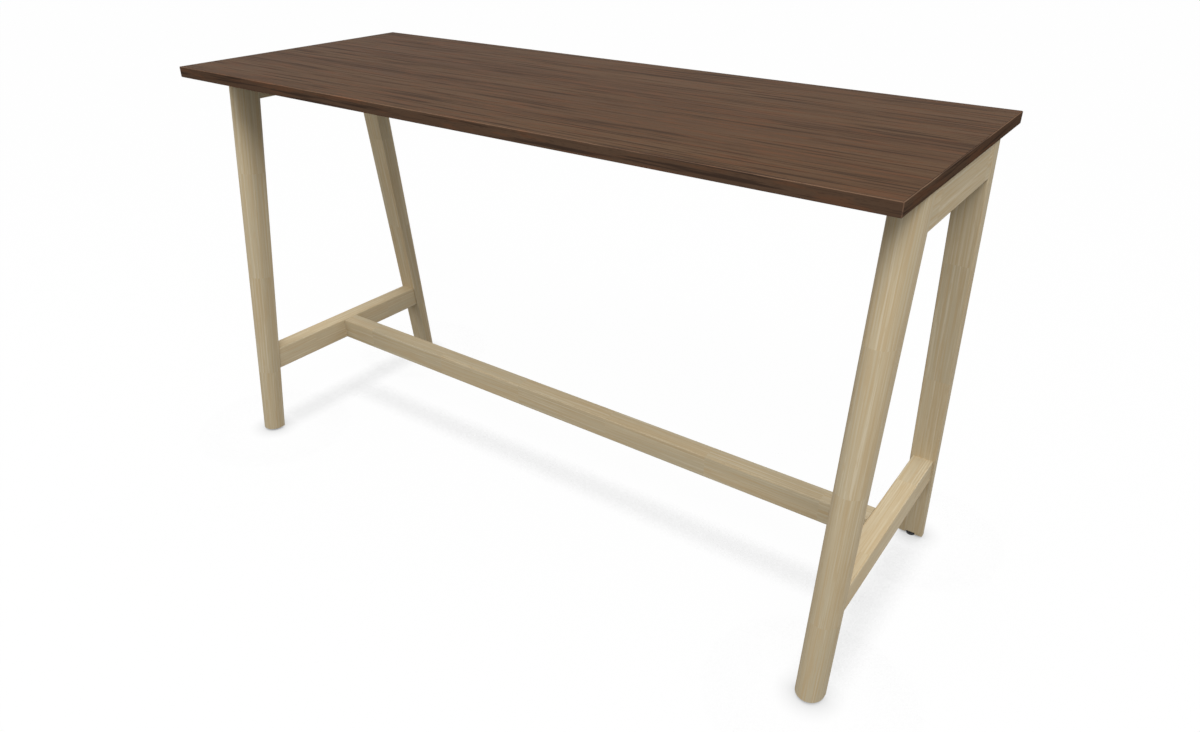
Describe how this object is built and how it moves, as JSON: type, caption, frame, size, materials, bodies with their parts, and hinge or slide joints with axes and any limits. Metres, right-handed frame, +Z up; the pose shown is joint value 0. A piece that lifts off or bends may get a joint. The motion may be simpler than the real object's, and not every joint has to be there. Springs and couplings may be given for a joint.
{
  "type": "standing meeting table",
  "caption": "Standing-height rectangular table: a dark banded board on pale end frames with leaning round-nosed legs, a low stretcher between them and levelling feet.",
  "frame": {"origin": "on the floor under the middle of the board, feet screwed right in", "axes": "+X along the board to the right-hand end, +Y to the rear edge, +Z up"},
  "size_m": [1.8, 0.7, 1.05],
  "materials": {
    "walnut_top": "satin walnut",
    "walnut_edge": "satin walnut edge",
    "pale_timber": "clear satin",
    "beech": "bare",
    "black_nylon": "moulded",
    "black_steel": "black",
    "zinc_steel": "zinc"
  },
  "bodies": {
    "table": {"tabletop_panel": "walnut_top", "front_edge_band": "walnut_edge", "rear_edge_band": "walnut_edge", "left_edge_band": "walnut_edge", "right_edge_band": "walnut_edge", "long_stretcher": "pale_timber", "front_support_beam": "black_steel", "rear_support_beam": "black_steel", "front_left_leg": "pale_timber", "front_left_foot_insert": "zinc_steel", "front_left_top_bolt": "zinc_steel", "front_left_top_insert": "zinc_steel", "front_left_inner_beam_screw": "zinc_steel", "front_left_outer_beam_screw": "zinc_steel", "front_left_board_screw": "zinc_steel", "front_left_stretcher_dowel": "beech", "front_right_leg": "pale_timber", "front_right_foot_insert": "zinc_steel", "front_right_top_bolt": "zinc_steel", "front_right_top_insert": "zinc_steel", "front_right_inner_beam_screw": "zinc_steel", "front_right_outer_beam_screw": "zinc_steel", "front_right_board_screw": "zinc_steel", "front_right_stretcher_dowel": "beech", "rear_left_leg": "pale_timber", "rear_left_foot_insert": "zinc_steel", "rear_left_top_bolt": "zinc_steel", "rear_left_top_insert": "zinc_steel", "rear_left_inner_beam_screw": "zinc_steel", "rear_left_outer_beam_screw": "zinc_steel", "rear_left_board_screw": "zinc_steel", "rear_left_stretcher_dowel": "beech", "rear_right_leg": "pale_timber", "rear_right_foot_insert": "zinc_steel", "rear_right_top_bolt": "zinc_steel", "rear_right_top_insert": "zinc_steel", "rear_right_inner_beam_screw": "zinc_steel", "rear_right_outer_beam_screw": "zinc_steel", "rear_right_board_screw": "zinc_steel", "rear_right_stretcher_dowel": "beech", "left_top_rail": "pale_timber", "left_cross_stretcher": "pale_timber", "left_stretcher_stud": "zinc_steel", "left_stretcher_washer": "zinc_steel", "left_stretcher_nut": "zinc_steel", "right_top_rail": "pale_timber", "right_cross_stretcher": "pale_timber", "right_stretcher_stud": "zinc_steel", "right_stretcher_washer": "zinc_steel", "right_stretcher_nut": "zinc_steel"},
    "front_left_foot": {"front_left_foot_pad": "black_nylon"},
    "front_left_screw": {"front_left_foot_screw": "black_steel"},
    "front_right_foot": {"front_right_foot_pad": "black_nylon"},
    "front_right_screw": {"front_right_foot_screw": "black_steel"},
    "rear_left_foot": {"rear_left_foot_pad": "black_nylon"},
    "rear_left_screw": {"rear_left_foot_screw": "black_steel"},
    "rear_right_foot": {"rear_right_foot_pad": "black_nylon"},
    "rear_right_screw": {"rear_right_foot_screw": "black_steel"}
  },
  "joints": [
    {"name": "front_left_foot_travel", "type": "slide", "parent": "table", "child": "front_left_foot", "axis": [0, 0, -1], "range_m": [0, 0.01]},
    {"name": "front_left_screw_turn", "type": "hinge", "parent": "front_left_foot", "child": "front_left_screw", "pos_m": [-0.867, -0.3095, 0.0087], "axis": [0, 0, -1], "range_deg": [0, 2880]},
    {"name": "front_right_foot_travel", "type": "slide", "parent": "table", "child": "front_right_foot", "axis": [0, 0, -1], "range_m": [0, 0.01]},
    {"name": "front_right_screw_turn", "type": "hinge", "parent": "front_right_foot", "child": "front_right_screw", "pos_m": [0.867, -0.3095, 0.0087], "axis": [0, 0, -1], "range_deg": [0, 2880]},
    {"name": "rear_left_foot_travel", "type": "slide", "parent": "table", "child": "rear_left_foot", "axis": [0, 0, -1], "range_m": [0, 0.01]},
    {"name": "rear_left_screw_turn", "type": "hinge", "parent": "rear_left_foot", "child": "rear_left_screw", "pos_m": [-0.867, 0.3095, 0.0087], "axis": [0, 0, -1], "range_deg": [0, 2880]},
    {"name": "rear_right_foot_travel", "type": "slide", "parent": "table", "child": "rear_right_foot", "axis": [0, 0, -1], "range_m": [0, 0.01]},
    {"name": "rear_right_screw_turn", "type": "hinge", "parent": "rear_right_foot", "child": "rear_right_screw", "pos_m": [0.867, 0.3095, 0.0087], "axis": [0, 0, -1], "range_deg": [0, 2880]}
  ],
  "couplings": [
    {"joint": "front_left_screw_turn", "follows": "front_left_foot_travel", "rad_per_m": 5026.5},
    {"joint": "front_right_screw_turn", "follows": "front_right_foot_travel", "rad_per_m": 5026.5},
    {"joint": "rear_left_screw_turn", "follows": "rear_left_foot_travel", "rad_per_m": 5026.5},
    {"joint": "rear_right_screw_turn", "follows": "rear_right_foot_travel", "rad_per_m": 5026.5}
  ]
}
